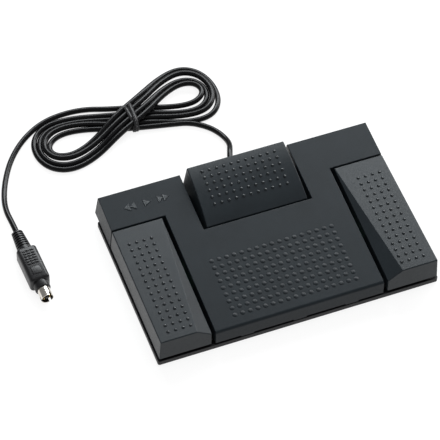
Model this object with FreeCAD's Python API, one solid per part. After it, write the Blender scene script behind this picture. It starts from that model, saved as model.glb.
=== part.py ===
"""Three-pedal foot control for a dictation transcriber, in millimetres.

The origin is at the floor, below the middle of the housing. X runs to the right, Y to the
back where the cord leaves, and Z up.
"""
import FreeCAD, Part
import math
import os

V = FreeCAD.Vector

# ---- driving dimensions -------------------------------------------------------------------
TRAY_HALF_WIDTH = 110.0
TRAY_FRONT = -70.2
TRAY_BACK = 62.8
TRAY_BOTTOM = 1.2          # the feet stand below this
TRAY_FLOOR = 3.2           # top of the tray's floor
RIM_TOP = 5.2
RIM_WALL = 1.2
INNER_WALL_INSET = 5.2     # the black wall seen through the shadow gap
INNER_WALL_TOP = 8.8

SKIRT_BOTTOM = 7.4         # lower edge of the cover
COVER_HALF_WIDTH = 109.1   # at the skirt's lower edge
COVER_FRONT = -70.0
COVER_BACK = 70.2
SIDE_DRAFT = 0.056         # mm per mm of height
FRONT_DRAFT = 0.06
BACK_DRAFT = 0.15
TOP_HEIGHT = 24.28         # height of the sloping top above the origin
TOP_SLOPE = 0.069
WALL = 2.2

BODY_HALF_WIDTH = 65.9     # the cover between the side pedals
SIDE_RECESS_BACK = 36.5
CENTRE_RECESS_HALF = 43.1
CENTRE_RECESS_FRONT = 16.0

SIDE_PEDAL_INNER = 69.0
SIDE_PEDAL_BACK = 34.9
SIDE_PEDAL_TOP = 26.9
SIDE_PEDAL_BOTTOM = 8.2
CHAMFER_INNER = 69.0       # x of the inner top edge at the back
CHAMFER_OUTER = 80.2       # x of the inner top edge at the front
PEDAL_WALL = 2.0
PEDAL_ROUND = 0.8          # on the edges that the foot touches

CENTRE_FRONT = 17.2
CENTRE_FRONT_TOP = 25.1
CENTRE_BACK = 64.6
CENTRE_BACK_TOP = 38.0
CENTRE_RADIUS = 105.0      # of the crowned top
CENTRE_HALF_WIDTH = 40.1   # at CENTRE_FRONT_TOP
CENTRE_DRAFT = 0.10
CENTRE_BOTTOM = 9.0
CENTRE_REAR_BOTTOM = 16.5  # the back wall ends above the cord

SIDE_PIVOT_Y = 29.0
SIDE_PIVOT_Z = 9.4
CENTRE_PIVOT_Y = 23.5
CENTRE_PIVOT_Z = 13.0
PIN_RADIUS = 1.5
PIN_CLEARANCE = 0.04
SIDE_TRAVEL_DEG = 1.25
CENTRE_TRAVEL_DEG = 3.0

BOARD_BOTTOM = 4.8
BOARD_THICK = 1.6
BOARD_TOP = BOARD_BOTTOM + BOARD_THICK
SWITCH_X = 78.0            # side switches, both sides
SWITCH_Y = -6.0
CENTRE_SWITCH_X = 12.0
CENTRE_SWITCH_Y = 44.0
SWITCH_HEIGHT = 6.4
PLUNGER_RADIUS = 1.5
PLUNGER_RISE = 1.6
PRESS_GAP = 0.3            # between a plunger's dome and the post above it

SPRING_X = 92.0
SPRING_Y = -34.0
CENTRE_SPRING_X = 25.0
CENTRE_SPRING_Y = 50.0
SPRING_TOP = 17.0
SPRING_RADIUS = 4.2
SPRING_WIRE = 0.45         # radius of the wire
SPRING_TURNS = 5
SPRING_CORNERS = 7         # runs in one turn of the coil

CORD_RADIUS = 2.2
CORD_EXIT_X = 4.0
CORD_EXIT_Z = 9.0
RELIEF_END = 80.0          # y of the strain relief's tip
PLUG_X = -169.9
PLUG_TURN = 2.3            # degrees that the plug's axis leans off -Y
PLUG_START_Y = 72.0
PLUG_Z = 7.3

# The cord's route from the strain relief to the hank, and from the hank to the plug.
LEAD_ROUTE = [
    (4.0, 80.0, 9.0), (4.3, 84.0, 9.0), (6.7, 90.0, 8.7), (9.8, 98.0, 6.4), (10.0, 106.0, 3.5),
    (7.3, 114.5, 2.4), (1.4, 122.8, 2.2), (-10.0, 131.2, 2.2),
]
TAIL_ROUTE = [
    (-82.0, 170.8, 2.2), (-99.0, 172.4, 2.2), (-118.0, 169.6, 2.2), (-136.5, 159.0, 2.2),
    (-151.5, 143.5, 2.2), (-162.0, 125.5, 2.2), (-168.6, 108.0, 3.0), (-170.9, 94.0, 5.6),
    (-170.3, 82.0, 7.3), (-169.9, 72.0, 7.3),
]
# The hank: a figure of eight tied across the middle.
TIE_X = -52.0
TIE_Y = 150.5
HANK_TURN = 8.1            # degrees that its long axis is turned
LEFT_LOBE = (-43.0, 41.0, 25.0)    # centre along the axis, half length, half width
RIGHT_LOBE = (38.5, 37.2, 27.5)
LOBE_HEIGHT = 8.4
WAIST_HALF_LENGTH = 16.0
WAIST_HALF_WIDTH = 13.4
WAIST_HEIGHT = 9.8


# ---- helpers ------------------------------------------------------------------------------
def box(x0, x1, y0, y1, z0, z1):
    return Part.makeBox(x1 - x0, y1 - y0, z1 - z0, V(x0, y0, z0))


def rod(radius, length, start, direction=V(0, 0, 1)):
    return Part.makeCylinder(radius, length, start, direction)


def tube(outer, inner, length, start, direction=V(0, 0, 1)):
    return rod(outer, length, start, direction).cut(rod(inner, length, start, direction))


def fused(shapes):
    whole = shapes[0].multiFuse(shapes[1:]) if len(shapes) > 1 else shapes[0]
    return whole.removeSplitter()


def mirrored(shape):
    return shape.mirror(V(0, 0, 0), V(1, 0, 0))


def top_at(y):
    """Height of the cover's sloping top."""
    return TOP_HEIGHT + TOP_SLOPE * y


def solid_from_faces(quads):
    faces = [Part.Face(Part.makePolygon([V(*p) for p in quad] + [V(*quad[0])])) for quad in quads]
    solid = Part.makeSolid(Part.makeShell(faces))
    if solid.Volume < 0:
        solid.reverse()
    return solid


def drafted_block(half_width, front, back, bottom, top, slope, side_k, front_k, back_k, left=None):
    """Six-sided block with drafted walls; its top is at height top + slope * y.

    Widths and depths are those at SKIRT_BOTTOM. left is the x of an undrafted left wall.
    """
    def corner(side, y0, k, low):
        if low:
            z = bottom
        else:
            z = (top + slope * (y0 - k * SKIRT_BOTTOM)) / (1 - slope * k)
        y = y0 + k * (z - SKIRT_BOTTOM)
        x = half_width - side_k * (z - SKIRT_BOTTOM)
        if side < 0:
            x = -x if left is None else left
        return (x, y, z)
    low = [corner(-1, front, front_k, True), corner(1, front, front_k, True),
           corner(1, back, -back_k, True), corner(-1, back, -back_k, True)]
    high = [corner(-1, front, front_k, False), corner(1, front, front_k, False),
            corner(1, back, -back_k, False), corner(-1, back, -back_k, False)]
    sides = [(low[i], low[(i + 1) % 4], high[(i + 1) % 4], high[i]) for i in range(4)]
    return solid_from_faces([low[::-1], high] + sides)


def half_space(p, q, r, inset=0.0):
    """A thick slab on the outer side of the plane through p, q and r, moved inwards by inset."""
    p, q, r = V(*p), V(*q), V(*r)
    normal = (q - p).cross(r - p).normalize()
    plate = Part.makeBox(400, 400, 60, V(-200, -200, -inset))
    plate.Placement = FreeCAD.Placement(p, FreeCAD.Rotation(V(0, 0, 1), normal))
    return plate


def routed(points, radius, label):
    """A round tube of straight runs joined by tangent arcs, as large as the runs allow."""
    points = [V(*p) for p in points]
    edges = []
    start = points[0]
    radii = []
    for before, here, after in zip(points, points[1:], points[2:]):
        run_in = (here - before)
        run_out = (after - here)
        shorter = min(run_in.Length, run_out.Length)
        turn = run_in.getAngle(run_out)
        cut = 0.45 * shorter
        arc_radius = cut / math.tan(turn / 2)
        radii.append(arc_radius)
        arc_start = here - run_in.normalize() * cut
        arc_end = here + run_out.normalize() * cut
        bisector = (arc_start + arc_end) * 0.5 - here
        centre = here + bisector.normalize() * (arc_radius / math.cos(turn / 2))
        middle = centre + (here - centre).normalize() * arc_radius
        edges.append(Part.LineSegment(start, arc_start).toShape())
        edges.append(Part.Arc(arc_start, middle, arc_end).toShape())
        start = arc_end
    edges.append(Part.LineSegment(start, points[-1]).toShape())
    wire = Part.Wire(edges)
    section = Part.Wire(Part.makeCircle(radius, points[0], points[1] - points[0]))
    solid = wire.makePipeShell([section], True, True)
    length = wire.Length
    ratio = solid.Volume / (math.pi * radius ** 2 * length)
    print(label, "length %.1f, tightest radius %.1f, volume ratio %.4f" % (length, min(radii), ratio))
    return solid


PARTS = {}


def keep(name, shape):
    """Write one node; a group of separate pieces is written as a compound."""
    PARTS[name] = shape
    shape.exportStep("parts/%s.step" % name)
    print(name, "solids %d, valid %s, volume %.1f" % (len(shape.Solids), shape.isValid(), shape.Volume))


# ---- housing ------------------------------------------------------------------------------
PIVOT_POSTS = (76.0, 99.0)      # x of the posts beside each side pedal's lugs
PIVOT_LUGS = (81.5, 93.5)
PIVOT_WIDTH = 4.0
POST_HALF_DEPTH = 3.3
CENTRE_POSTS = 33.0
CENTRE_LUGS = 27.5
FEET_AT = [(-95, -56), (95, -56), (-95, 48), (95, 48)]
FOOT_RADIUS = 7.0
COVER_SCREWS_AT = [(-56, -58), (56, -58), (0, -58), (-74, 51), (74, 51)]
COVER_BOSS_RADIUS = 3.6
COVER_BOSS_BOTTOM = 9.0
PLATE = (-56.0, 56.0, -52.0, -24.0)
PLATE_THICK = 2.5
PLATE_SCREWS_AT = [(-50, -46), (50, -46), (-50, -30), (50, -30)]
BOARD_SCREWS_AT = [(-60, -4), (60, -4), (0, 8)]
BUMPERS_AT = [(-98, -58), (-84, -58), (84, -58), (98, -58), (-34, 56), (34, 56)]
BUMPER_RADIUS = 3.5
BUMPER_HEIGHT = 2.2
TAB_X = [-41.0, 0.0, 41.0]
SIDE_TAB_X = 88.0
REAR_WALL_TOP = 13.6
REAR_WALL_HALF = 39.0
CLAMP_SCREWS_X = (CORD_EXIT_X - 4.9, CORD_EXIT_X + 4.9)
RELIEF_FLANGE_RADIUS = 4.4
RELIEF_NECK_RADIUS = 3.4


def pivot_post(x, y, axis_z, top):
    post = box(x - PIVOT_WIDTH / 2, x + PIVOT_WIDTH / 2, y - POST_HALF_DEPTH, y + POST_HALF_DEPTH,
               TRAY_FLOOR, top)
    return post.cut(rod(PIN_RADIUS, PIVOT_WIDTH, V(x - PIVOT_WIDTH / 2, y, axis_z), V(1, 0, 0)))


def spring_spigot(x, y):
    return rod(SPRING_RADIUS - SPRING_WIRE - 0.4, 2.5, V(x, y, TRAY_FLOOR))


# Where the walls of the cover and pedals cross the tray's inner wall.
WALL_NOTCHES = [
    box(BODY_HALF_WIDTH - 3.0, SIDE_PEDAL_INNER + 3.0, -67, -62, RIM_TOP + 0.4, 20),
    box(100, 110, SIDE_PEDAL_BACK - 3.0, SIDE_RECESS_BACK + 3.0, RIM_TOP + 0.4, 20),
    box(CENTRE_RECESS_HALF - 0.8, CENTRE_RECESS_HALF + 3.2, 54, 60, RIM_TOP + 0.4, 20),
]


def base_tray():
    w, f, b = TRAY_HALF_WIDTH, TRAY_FRONT, TRAY_BACK
    slab = box(-w, w, f, b, TRAY_BOTTOM, RIM_TOP)
    slab = slab.makeFillet(1.5, [e for e in slab.Edges if e.BoundBox.ZLength > 1])
    inner = box(-w + RIM_WALL, w - RIM_WALL, f + RIM_WALL, b - RIM_WALL, TRAY_FLOOR, RIM_TOP)
    tray = slab.cut(inner)
    i = INNER_WALL_INSET
    ring = box(-w + i, w - i, f + i, b - i, TRAY_FLOOR, INNER_WALL_TOP)
    ring = ring.cut(box(-w + i + 1.5, w - i - 1.5, f + i + 1.5, b - i - 1.5, TRAY_FLOOR, INNER_WALL_TOP))
    ring = ring.cut(box(-REAR_WALL_HALF - 4, REAR_WALL_HALF + 4, 50, b, TRAY_FLOOR, INNER_WALL_TOP))
    for notch in WALL_NOTCHES:
        ring = ring.cut(notch).cut(mirrored(notch))
    rear = box(-REAR_WALL_HALF, REAR_WALL_HALF, b - 2.5, b, TRAY_FLOOR, REAR_WALL_TOP)
    pieces = [tray, ring, rear]
    for sign in (-1, 1):
        for x in PIVOT_POSTS:
            pieces.append(pivot_post(sign * x, SIDE_PIVOT_Y, SIDE_PIVOT_Z, SIDE_PIVOT_Z + 3))
        pieces.append(pivot_post(sign * CENTRE_POSTS, CENTRE_PIVOT_Y, CENTRE_PIVOT_Z, CENTRE_PIVOT_Z + 3))
        pieces.append(spring_spigot(sign * SPRING_X, SPRING_Y))
        pieces.append(spring_spigot(sign * CENTRE_SPRING_X, CENTRE_SPRING_Y))
    for x, y in COVER_SCREWS_AT:
        pieces.append(rod(COVER_BOSS_RADIUS + 0.4, COVER_BOSS_BOTTOM - TRAY_FLOOR, V(x, y, TRAY_FLOOR)))
    for x, y in BOARD_SCREWS_AT:
        pieces.append(rod(3.0, BOARD_BOTTOM - TRAY_FLOOR, V(x, y, TRAY_FLOOR)))
    pieces.append(box(CORD_EXIT_X - 7, CORD_EXIT_X + 7, 51.5, 57.5, TRAY_FLOOR, CORD_EXIT_Z - CORD_RADIUS))
    tray = fused(pieces)
    for x, y in COVER_SCREWS_AT:
        tray = tray.cut(rod(1.7, 20, V(x, y, 0)))
        tray = tray.cut(rod(3.2, TRAY_FLOOR - TRAY_BOTTOM + 1.5, V(x, y, TRAY_BOTTOM)))
    for x, y in PLATE_SCREWS_AT:
        tray = tray.cut(rod(1.2, 1.6, V(x, y, TRAY_FLOOR - 1.6)))
    for x, y in BOARD_SCREWS_AT:
        tray = tray.cut(rod(1.0, 3.0, V(x, y, BOARD_BOTTOM - 3.0)))
    for x in CLAMP_SCREWS_X:
        tray = tray.cut(rod(1.0, 4.0, V(x, 54.5, CORD_EXIT_Z - CORD_RADIUS - 4.0)))
    tray = tray.cut(rod(RELIEF_NECK_RADIUS, 6, V(CORD_EXIT_X, b - 4, CORD_EXIT_Z), V(0, 1, 0)))
    for x, y in FEET_AT:
        tray = tray.cut(rod(FOOT_RADIUS, 0.8, V(x, y, TRAY_BOTTOM)))
    return tray


def feet():
    feet = []
    for x, y in FEET_AT:
        foot = rod(FOOT_RADIUS, 2.0, V(x, y, 0))
        feet.append(foot.makeChamfer(0.5, [e for e in foot.Edges if e.BoundBox.ZMax < 0.01]))
    return Part.makeCompound(feet)


def cover_cavity(inset, bottom):
    return drafted_block(COVER_HALF_WIDTH - inset, COVER_FRONT + inset, COVER_BACK - inset, bottom,
                         TOP_HEIGHT - inset, TOP_SLOPE, SIDE_DRAFT, FRONT_DRAFT, BACK_DRAFT)


def cover_recesses(inset):
    """The two side-pedal bays and the centre bay, grown by inset."""
    side = box(BODY_HALF_WIDTH - inset, 130, -90, SIDE_RECESS_BACK + inset, 0, 60)
    centre = box(-CENTRE_RECESS_HALF - inset, CENTRE_RECESS_HALF + inset,
                 CENTRE_RECESS_FRONT - inset, 90, 0, 60)
    return fused([side, centre]), mirrored(side)


def top_cover():
    outer = cover_cavity(0, SKIRT_BOTTOM)
    inner = cover_cavity(WALL, SKIRT_BOTTOM - 5)
    for bay in cover_recesses(0):
        outer = outer.cut(bay)
    for bay in cover_recesses(WALL):
        inner = inner.cut(bay)
    front_edge = [e for e in outer.Edges if e.BoundBox.YMax < -60 and e.BoundBox.XLength > 50
                  and e.BoundBox.ZMin > 15]
    outer = outer.makeFillet(2.2, front_edge)
    rim = [e for e in outer.Edges if e.BoundBox.ZMin > SKIRT_BOTTOM + 0.5 and e.Length > 15
           and not e.BoundBox.YMax < -60]
    outer = outer.makeFillet(0.5, rim)
    shell = outer.cut(inner)
    pieces = [shell]
    for x in TAB_X:
        pieces.append(box(x - 5, x + 5, COVER_FRONT + 0.1, COVER_FRONT + 1.5, SKIRT_BOTTOM - 1.4,
                          SKIRT_BOTTOM + 1))
    for x, y in COVER_SCREWS_AT:
        boss = rod(COVER_BOSS_RADIUS, 30, V(x, y, COVER_BOSS_BOTTOM))
        boss = boss.cut(rod(1.1, 9, V(x, y, COVER_BOSS_BOTTOM)))
        pieces.append(boss.common(cover_cavity(WALL - 0.4, SKIRT_BOTTOM - 5)))
    for x in (-30, 0, 30):
        rib = box(x - 0.9, x + 0.9, -60, 10, 17.0, 40)
        pieces.append(rib.common(cover_cavity(WALL - 0.4, SKIRT_BOTTOM - 5)))
    return fused(pieces)


# ---- pedals -------------------------------------------------------------------------------
def side_pedal_form(inset, bottom):
    """Right-hand pedal's outer form, or its cavity when inset by the wall."""
    form = drafted_block(COVER_HALF_WIDTH - inset, COVER_FRONT + inset, SIDE_PEDAL_BACK - inset,
                         bottom, SIDE_PEDAL_TOP - inset, 0.0, SIDE_DRAFT, FRONT_DRAFT, 0.0,
                         left=SIDE_PEDAL_INNER + inset)
    back_z = top_at(SIDE_PEDAL_BACK)
    front_z = top_at(COVER_FRONT)
    p = (CHAMFER_INNER, SIDE_PEDAL_BACK, back_z)
    q = (CHAMFER_INNER, COVER_FRONT, front_z)
    r = (CHAMFER_OUTER, COVER_FRONT, SIDE_PEDAL_TOP)
    slab = half_space(p, q, r, inset)
    return form, slab


def right_pedal():
    outer, slab = side_pedal_form(0, SIDE_PEDAL_BOTTOM)
    outer = outer.cut(slab)
    inner, inner_slab = side_pedal_form(PEDAL_WALL, SIDE_PEDAL_BOTTOM - 5)
    inner = inner.cut(inner_slab)
    raised = [e for e in outer.Edges if e.BoundBox.ZMax > SIDE_PEDAL_BOTTOM + 1]
    touched = [e for e in raised if e.BoundBox.YMin < SIDE_PEDAL_BACK - 1
               and not (e.BoundBox.YLength > 50 and e.BoundBox.XMax < SIDE_PEDAL_INNER + 0.1)]
    outer = outer.makeFillet(PEDAL_ROUND, touched)
    shell = outer.cut(inner)
    pieces = [shell]
    for x in PIVOT_LUGS:
        lug = box(x - PIVOT_WIDTH / 2, x + PIVOT_WIDTH / 2, SIDE_PIVOT_Y - 3.5, SIDE_PIVOT_Y + 3.5,
                  SIDE_PIVOT_Z - 3.2, 40)
        lug = lug.cut(rod(PIN_RADIUS + PIN_CLEARANCE, PIVOT_WIDTH,
                          V(x - PIVOT_WIDTH / 2, SIDE_PIVOT_Y, SIDE_PIVOT_Z), V(1, 0, 0)))
        pieces.append(lug.common(outer))
    post_bottom = BOARD_TOP + SWITCH_HEIGHT + PLUNGER_RISE + PRESS_GAP
    post = box(SWITCH_X - 2.5, SWITCH_X + 2.5, SWITCH_Y - 3, SWITCH_Y + 3, post_bottom, 40)
    pieces.append(post.common(outer))
    seat = rod(SPRING_RADIUS + 1.2, 40, V(SPRING_X, SPRING_Y, SPRING_TOP))
    pieces.append(seat.common(outer))
    pin = rod(SPRING_RADIUS - SPRING_WIRE - 0.5, 3.0, V(SPRING_X, SPRING_Y, SPRING_TOP - 3.0))
    pieces.append(pin)
    stop_bottom = TRAY_FLOOR + BUMPER_HEIGHT + 0.35 + (SIDE_PIVOT_Y + 62) * math.sin(
        math.radians(SIDE_TRAVEL_DEG))
    stop = box(81, 101, -59, -57, stop_bottom, 40)
    pieces.append(stop.common(outer))
    tab = box(SIDE_TAB_X - 6, SIDE_TAB_X + 6, COVER_FRONT + 1.3, COVER_FRONT + 2.5, SKIRT_BOTTOM - 0.8,
              SIDE_PEDAL_BOTTOM + 2)
    pieces.append(tab)
    return fused(pieces)


def hump_circle():
    """Centre of the crowned top's arc in the YZ plane."""
    a = V(0, CENTRE_FRONT, CENTRE_FRONT_TOP)
    b = V(0, CENTRE_BACK, CENTRE_BACK_TOP)
    chord = b - a
    down = V(0, chord.z, -chord.y).normalize()
    reach = math.sqrt(CENTRE_RADIUS ** 2 - (chord.Length / 2) ** 2)
    return (a + b) * 0.5 + down * reach


def hump_form(inset, bottom):
    """The centre pedal's crowned block, inset all round for its cavity."""
    c = hump_circle()
    radius = CENTRE_RADIUS - inset
    y0 = CENTRE_FRONT + inset
    y1 = CENTRE_BACK - inset

    def arc_point(y):
        return V(0, y, c.z + math.sqrt(radius ** 2 - (y - c.y) ** 2))
    p_front = arc_point(y0)
    p_back = arc_point(y1)
    low_back = V(0, y1 + 2.4, bottom)
    low_front = V(0, y0, bottom)
    outline = [Part.LineSegment(low_front, p_front).toShape(),
               Part.Arc(p_front, arc_point((y0 + y1) / 2), p_back).toShape(),
               Part.LineSegment(p_back, low_back).toShape(),
               Part.LineSegment(low_back, low_front).toShape()]
    face = Part.Face(Part.Wire(outline))
    width = 120.0
    face.translate(V(-width / 2, 0, 0))
    form = face.extrude(V(width, 0, 0))
    half = CENTRE_HALF_WIDTH - inset
    for sign in (-1, 1):
        low_x = sign * (half + CENTRE_DRAFT * CENTRE_FRONT_TOP)
        high_x = sign * (half + CENTRE_DRAFT * (CENTRE_FRONT_TOP - 60))
        order = [(low_x, 0, 0), (low_x, 100, 0), (high_x, 0, 60)]
        if sign < 0:
            order = [order[0], order[2], order[1]]
        form = form.cut(half_space(order[0], order[1], order[2]))
    return form


def centre_pedal():
    outer = hump_form(0, CENTRE_BOTTOM)
    inner = hump_form(PEDAL_WALL, CENTRE_BOTTOM - 5)
    sharp = [e for e in outer.Edges if e.BoundBox.ZMax > CENTRE_BOTTOM + 1 and e.Length > 3]
    outer = outer.makeFillet(PEDAL_ROUND, sharp)
    shell = outer.cut(inner)
    shell = shell.cut(box(-60, 60, 56, 80, 0, CENTRE_REAR_BOTTOM))
    pieces = [shell]
    for sign in (-1, 1):
        x = sign * CENTRE_LUGS
        lug = box(x - PIVOT_WIDTH / 2, x + PIVOT_WIDTH / 2, CENTRE_PIVOT_Y - 3.5, CENTRE_PIVOT_Y + 3.5,
                  CENTRE_PIVOT_Z - 3.2, 60)
        lug = lug.cut(rod(PIN_RADIUS + PIN_CLEARANCE, PIVOT_WIDTH,
                          V(x - PIVOT_WIDTH / 2, CENTRE_PIVOT_Y, CENTRE_PIVOT_Z), V(1, 0, 0)))
        pieces.append(lug.common(outer))
        seat = rod(SPRING_RADIUS + 1.2, 60, V(sign * CENTRE_SPRING_X, CENTRE_SPRING_Y, SPRING_TOP))
        pieces.append(seat.common(outer))
        pieces.append(rod(SPRING_RADIUS - SPRING_WIRE - 0.5, 3.0,
                          V(sign * CENTRE_SPRING_X, CENTRE_SPRING_Y, SPRING_TOP - 3.0)))
        stop_bottom = TRAY_FLOOR + BUMPER_HEIGHT + 0.35 + (56 - CENTRE_PIVOT_Y + BUMPER_RADIUS) * math.sin(
            math.radians(CENTRE_TRAVEL_DEG))
        stop = box(sign * 34 - 2, sign * 34 + 2, 55, 57, stop_bottom, 60)
        pieces.append(stop.common(outer))
    post_bottom = BOARD_TOP + SWITCH_HEIGHT + PLUNGER_RISE + PRESS_GAP
    post = box(CENTRE_SWITCH_X - 2.5, CENTRE_SWITCH_X + 2.5, CENTRE_SWITCH_Y - 3, CENTRE_SWITCH_Y + 3,
               post_bottom, 60)
    pieces.append(post.common(outer))
    return fused(pieces)


# ---- works inside -------------------------------------------------------------------------
def screw(x, y, head_z, head_radius, head_height, shank_radius, length, up=True):
    """Pan-head screw with a cross recess; its shank runs up from the head, or down from it."""
    way = 1 if up else -1
    head = rod(head_radius, head_height, V(x, y, head_z - way * head_height), V(0, 0, way))
    edge = [e for e in head.Edges if abs(e.BoundBox.ZMin - (head_z - way * head_height)) < 0.01
            and e.BoundBox.ZLength < 0.01]
    head = head.makeFillet(head_height * 0.4, edge)
    shank = rod(shank_radius, length, V(x, y, head_z), V(0, 0, way))
    body = head.fuse(shank)
    deep = head_height * 0.6
    face = head_z - way * head_height
    z0, z1 = sorted((face, face + way * deep))
    half = head_radius * 0.6
    for w, d in ((half, 0.3), (0.3, half)):
        body = body.cut(box(x - w, x + w, y - d, y + d, z0, z1))
    return body


def switch(x, y):
    body = box(x - 3.2, x + 3.2, y - 4, y + 4, BOARD_TOP, BOARD_TOP + SWITCH_HEIGHT)
    body = body.makeChamfer(0.5, [e for e in body.Edges if e.BoundBox.ZMin > BOARD_TOP + SWITCH_HEIGHT - 0.1])
    bore = rod(PLUNGER_RADIUS + 0.05, 4.0, V(x, y, BOARD_TOP + SWITCH_HEIGHT - 4.0))
    return body.cut(bore)


def plunger(x, y):
    top = BOARD_TOP + SWITCH_HEIGHT + PLUNGER_RISE
    stem = rod(PLUNGER_RADIUS, 3.5 + 0.6, V(x, y, top - 4.1))
    return stem.makeFillet(0.7, [e for e in stem.Edges if e.BoundBox.ZMin > top - 0.1])


def spring(x, y):
    """Open coil of short runs and arcs, standing on the tray."""
    rise = SPRING_TOP - TRAY_FLOOR - 2 * SPRING_WIRE
    steps = SPRING_TURNS * SPRING_CORNERS
    reach = SPRING_RADIUS / math.cos(math.pi / SPRING_CORNERS)
    route = []
    for i in range(steps + 1):
        angle = 2 * math.pi * i / SPRING_CORNERS
        route.append((x + reach * math.cos(angle), y + reach * math.sin(angle),
                      TRAY_FLOOR + SPRING_WIRE + rise * i / steps))
    return routed(route, SPRING_WIRE, "spring")


def circuit_board():
    bar = box(-84, 84, -18, 8, BOARD_BOTTOM, BOARD_TOP)
    tongue = box(-18, 18, 7, 50, BOARD_BOTTOM, BOARD_TOP)
    board = fused([bar, tongue])
    for x, y in BOARD_SCREWS_AT:
        board = board.cut(rod(1.4, 5, V(x, y, BOARD_BOTTOM - 1)))
    return board


RESISTORS_AT = [(-36, -10), (-24, -10), (24, -10), (36, -10)]


def resistors():
    group = []
    for x, y in RESISTORS_AT:
        body = rod(1.1, 6.0, V(x - 3, y, BOARD_TOP + 1.4), V(1, 0, 0))
        lead = [box(x - 5.2, x - 3, y - 0.25, y + 0.25, BOARD_TOP + 1.15, BOARD_TOP + 1.65),
                box(x + 3, x + 5.2, y - 0.25, y + 0.25, BOARD_TOP + 1.15, BOARD_TOP + 1.65),
                box(x - 5.2, x - 4.7, y - 0.25, y + 0.25, BOARD_TOP, BOARD_TOP + 1.4),
                box(x + 4.7, x + 5.2, y - 0.25, y + 0.25, BOARD_TOP, BOARD_TOP + 1.4)]
        group.append(fused([body] + lead))
    return Part.makeCompound(group)


HEADER_X = -8.0
HEADER_Y = 40.0
WIRE_RADIUS = 0.6


def header():
    body = box(HEADER_X - 5.5, HEADER_X + 5.5, HEADER_Y - 3, HEADER_Y + 3, BOARD_TOP, BOARD_TOP + 6)
    return body.makeChamfer(0.4, [e for e in body.Edges if e.BoundBox.ZMin > BOARD_TOP + 5.9])


def signal_wires():
    wires = []
    for i in range(4):
        end_x = HEADER_X + (i - 1.5) * 2.4
        start_x = CORD_EXIT_X + (0.8 if i % 2 else -0.8)
        start_z = CORD_EXIT_Z + (0.8 if i > 1 else -0.8)
        end_z = BOARD_TOP + 3.0
        route = [(start_x, 50.5, start_z), (start_x, 48.4, start_z), (end_x, 45.4, end_z),
                 (end_x, HEADER_Y + 3, end_z)]
        wires.append(routed(route, WIRE_RADIUS, "wire %d" % i))
    return Part.makeCompound(wires)


def strain_relief():
    """Tapered sleeve through the rear wall, with a flange on each side of it."""
    back = TRAY_BACK
    neck = rod(RELIEF_NECK_RADIUS, 2.5, V(CORD_EXIT_X, back - 2.5, CORD_EXIT_Z), V(0, 1, 0))
    inside = rod(RELIEF_FLANGE_RADIUS - 0.4, 1.5, V(CORD_EXIT_X, back - 4.0, CORD_EXIT_Z), V(0, 1, 0))
    outside = rod(RELIEF_FLANGE_RADIUS, 1.8, V(CORD_EXIT_X, back, CORD_EXIT_Z), V(0, 1, 0))
    cone = Part.makeCone(RELIEF_FLANGE_RADIUS - 0.8, CORD_RADIUS + 0.7, RELIEF_END - back - 1.8,
                         V(CORD_EXIT_X, back + 1.8, CORD_EXIT_Z), V(0, 1, 0))
    sleeve = fused([neck, inside, outside, cone])
    x0 = CORD_EXIT_X - 5
    for i in range(5):
        y = back + 4.0 + i * 2.6
        for sign in (-1, 1):
            slot = box(x0, x0 + 10, y, y + 0.9, CORD_EXIT_Z + 2.6, CORD_EXIT_Z + 6)
            if sign < 0:
                slot = box(x0, x0 + 10, y, y + 0.9, CORD_EXIT_Z - 6, CORD_EXIT_Z - 2.6)
            sleeve = sleeve.cut(slot)
    return sleeve.cut(rod(CORD_RADIUS, 30, V(CORD_EXIT_X, back - 4.0, CORD_EXIT_Z), V(0, 1, 0)))


def cord_inner():
    """The sheathed end of the cord, from the tip of the strain relief to the clamp."""
    return rod(CORD_RADIUS, RELIEF_END - 50.5, V(CORD_EXIT_X, 50.5, CORD_EXIT_Z), V(0, 1, 0))


def cord_clamp():
    """Bridge that holds the cord down on its saddle, over two screws."""
    saddle = CORD_EXIT_Z - CORD_RADIUS
    c = CORD_EXIT_X
    bridge = box(c - 7, c + 7, 52, 57, saddle, CORD_EXIT_Z + CORD_RADIUS + 1.2)
    bridge = bridge.cut(box(c - 7, c - 3.2, 52, 57, saddle + 2.0, 30))
    bridge = bridge.cut(box(c + 3.2, c + 7, 52, 57, saddle + 2.0, 30))
    channel = fused([rod(CORD_RADIUS, 6, V(c, 51.5, CORD_EXIT_Z), V(0, 1, 0)),
                     box(c - CORD_RADIUS, c + CORD_RADIUS, 51.5, 57.5, saddle - 1, CORD_EXIT_Z)])
    bridge = bridge.cut(channel)
    for x in CLAMP_SCREWS_X:
        bridge = bridge.cut(rod(1.2, 6, V(x, 54.5, saddle - 1)))
    return bridge


# ---- cord and plug ------------------------------------------------------------------------
def hank():
    """Outer form of the tied figure of eight: two flat lobes and a thicker waist."""
    def lobe(centre, half_length, half_width):
        ellipse = Part.Ellipse(V(0, 0, 0), half_length, half_width)
        face = Part.Face(Part.Wire(ellipse.toShape()))
        solid = face.extrude(V(0, 0, LOBE_HEIGHT))
        solid.translate(V(centre, 0, 0))
        return solid
    waist = box(-WAIST_HALF_LENGTH, WAIST_HALF_LENGTH, -WAIST_HALF_WIDTH, WAIST_HALF_WIDTH, 0, WAIST_HEIGHT)
    whole = fused([lobe(*LEFT_LOBE), lobe(*RIGHT_LOBE), waist])
    whole.rotate(V(0, 0, 0), V(0, 0, 1), HANK_TURN)
    whole.translate(V(TIE_X, TIE_Y, 0))
    return whole


TIE_HALF_WIDTH = 2.0
TIE_THICK = 1.0


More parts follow.
